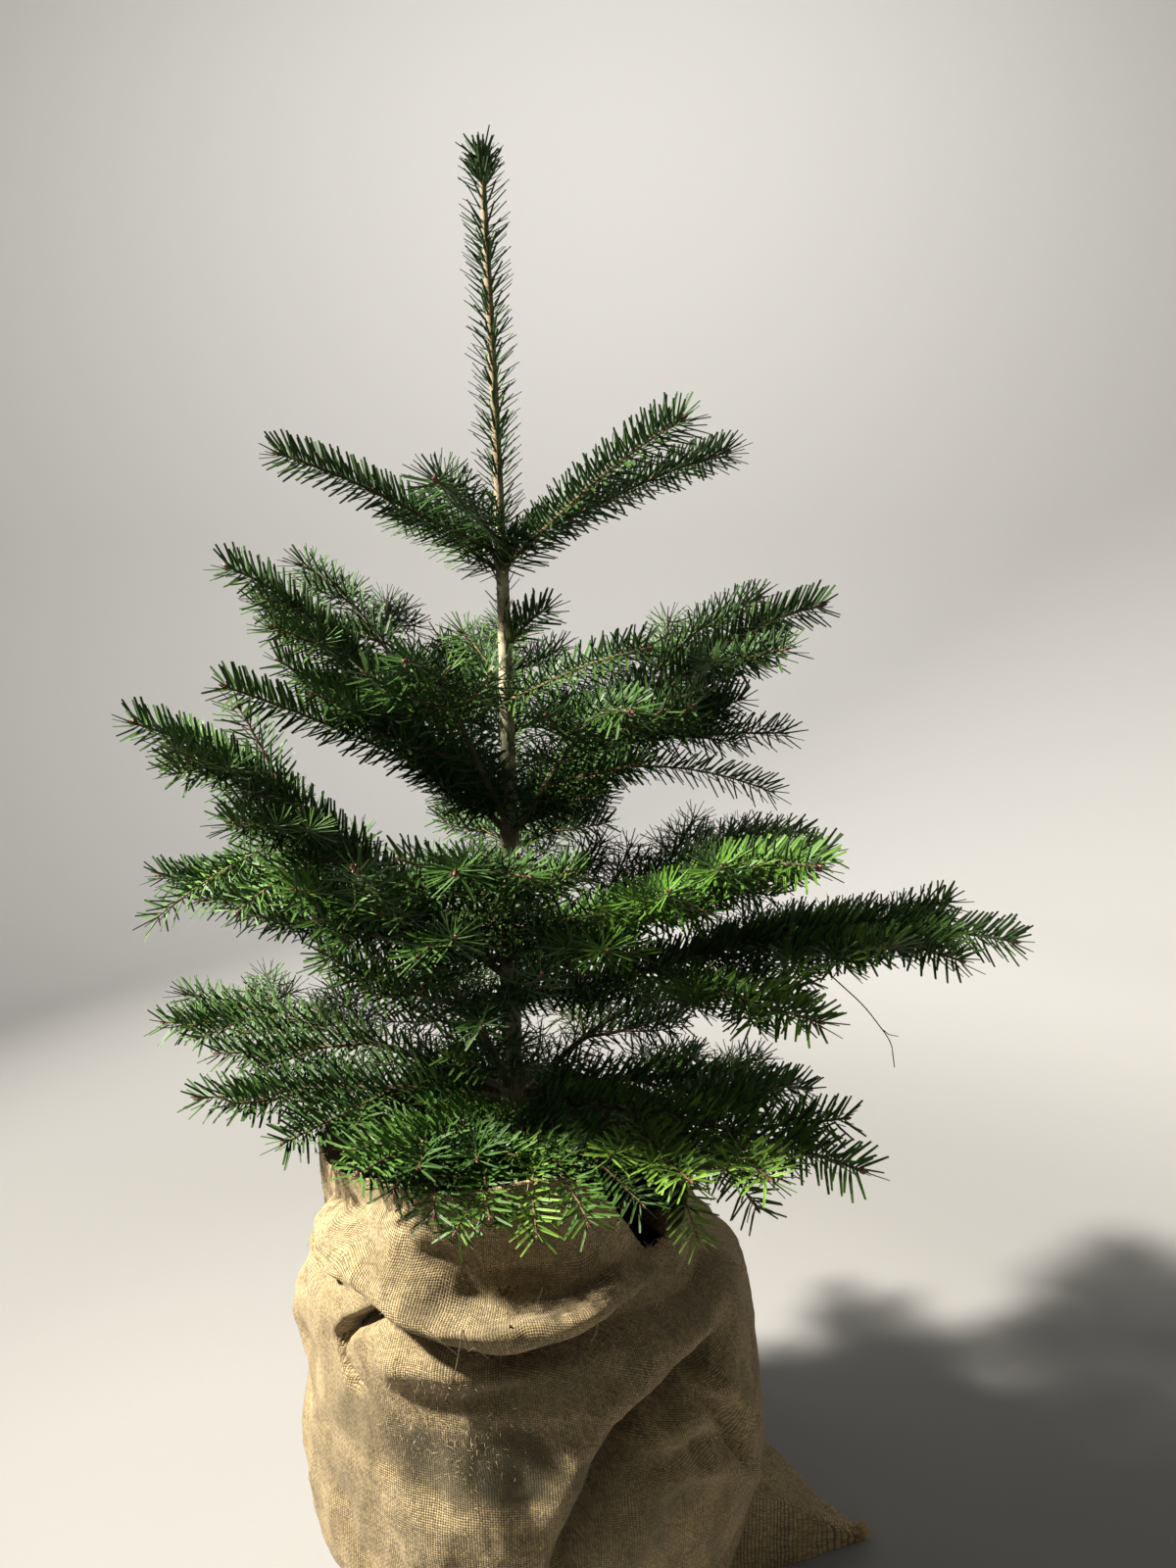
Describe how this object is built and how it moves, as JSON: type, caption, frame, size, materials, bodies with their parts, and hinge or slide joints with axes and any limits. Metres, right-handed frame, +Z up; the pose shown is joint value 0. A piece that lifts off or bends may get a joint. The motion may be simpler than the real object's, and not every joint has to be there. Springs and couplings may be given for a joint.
{
  "type": "young fir christmas tree in a jute sack",
  "caption": "Young living fir sold as a Christmas tree: slim trunk with whorls of needled boughs, standing with its root ball in a loose jute sack.",
  "frame": {"origin": "on the floor under the foot of the trunk's axis, at the flat underside of the sack", "axes": "+Z up along the trunk, -Y towards the side the tree is looked at from, +X to the right"},
  "size_m": [0.9499, 0.7032, 1.572],
  "materials": {
    "bark": "thin grey-green bark, slightly rough",
    "twig_bark": "tan young bark, matt",
    "needles": "dark green needles with a waxy sheen",
    "jute": "coarse woven jute, damp stains at the foot",
    "soil": "damp crumbly soil"
  },
  "bodies": {
    "root": {"base_back_bough": "twig_bark", "base_back_left_bough": "twig_bark", "base_back_left_needles": "needles", "base_back_needles": "needles", "base_back_right_bough": "twig_bark", "base_back_right_needles": "needles", "base_front_bough": "twig_bark", "base_front_left_bough": "twig_bark", "base_front_left_needles": "needles", "base_front_needles": "needles", "base_front_right_bough": "twig_bark", "base_front_right_needles": "needles", "base_front_tall_bough": "twig_bark", "base_front_tall_needles": "needles", "base_left_bough": "twig_bark", "base_left_needles": "needles", "base_right_bough": "twig_bark", "base_right_needles": "needles", "leader_needles": "needles", "low_back_bough": "twig_bark", "low_back_left_bough": "twig_bark", "low_back_left_needles": "needles", "low_back_needles": "needles", "low_back_right_bough": "twig_bark", "low_back_right_needles": "needles", "low_front_bough": "twig_bark", "low_front_needles": "needles", "low_front_right_bough": "twig_bark", "low_front_right_needles": "needles", "low_left_bough": "twig_bark", "low_left_needles": "needles", "low_right_bough": "twig_bark", "low_right_needles": "needles", "middle_back_bough": "twig_bark", "middle_back_left_bough": "twig_bark", "middle_back_left_needles": "needles", "middle_back_needles": "needles", "middle_back_right_bough": "twig_bark", "middle_back_right_needles": "needles", "middle_front_left_bough": "twig_bark", "middle_front_left_needles": "needles", "middle_front_right_bough": "twig_bark", "middle_front_right_needles": "needles", "middle_left_bough": "twig_bark", "middle_left_needles": "needles", "middle_right_bough": "twig_bark", "middle_right_needles": "needles", "root_ball": "soil", "sack": "jute", "small_back_left_needles": "needles", "small_front_right_needles": "needles", "small_left_needles": "needles", "small_lower_left_needles": "needles", "small_right_needles": "needles", "top_back_left_needles": "needles", "top_back_right_needles": "needles", "top_front_needles": "needles", "top_front_right_needles": "needles", "top_left_needles": "needles", "trunk": "bark"}
  },
  "joints": []
}
